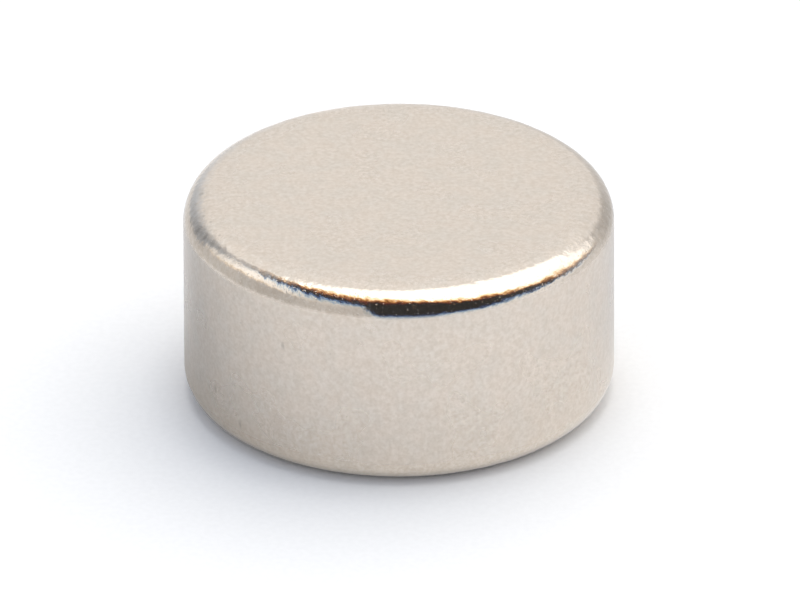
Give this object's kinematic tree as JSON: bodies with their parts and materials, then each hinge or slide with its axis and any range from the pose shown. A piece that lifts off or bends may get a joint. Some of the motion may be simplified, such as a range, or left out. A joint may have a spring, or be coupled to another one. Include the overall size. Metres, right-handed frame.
{
  "type": "disc magnet",
  "caption": "Short solid disc magnet with flat faces, a plain round side and tumbled, rounded edges, plated in bright nickel.",
  "frame": {"origin": "centre of the flat face that the magnet stands on", "axes": "+Z along the disc's axis, up from the face it stands on; +X and +Y lie in that face, and any turn about +Z is the same"},
  "size_m": [0.01, 0.01, 0.005],
  "materials": {
    "nickel_plating": "bright nickel plating, satin with a fine grain on the faces and the side, mirror-like on the rounded edges"
  },
  "bodies": {
    "root": {"magnet": "nickel_plating"}
  },
  "joints": []
}
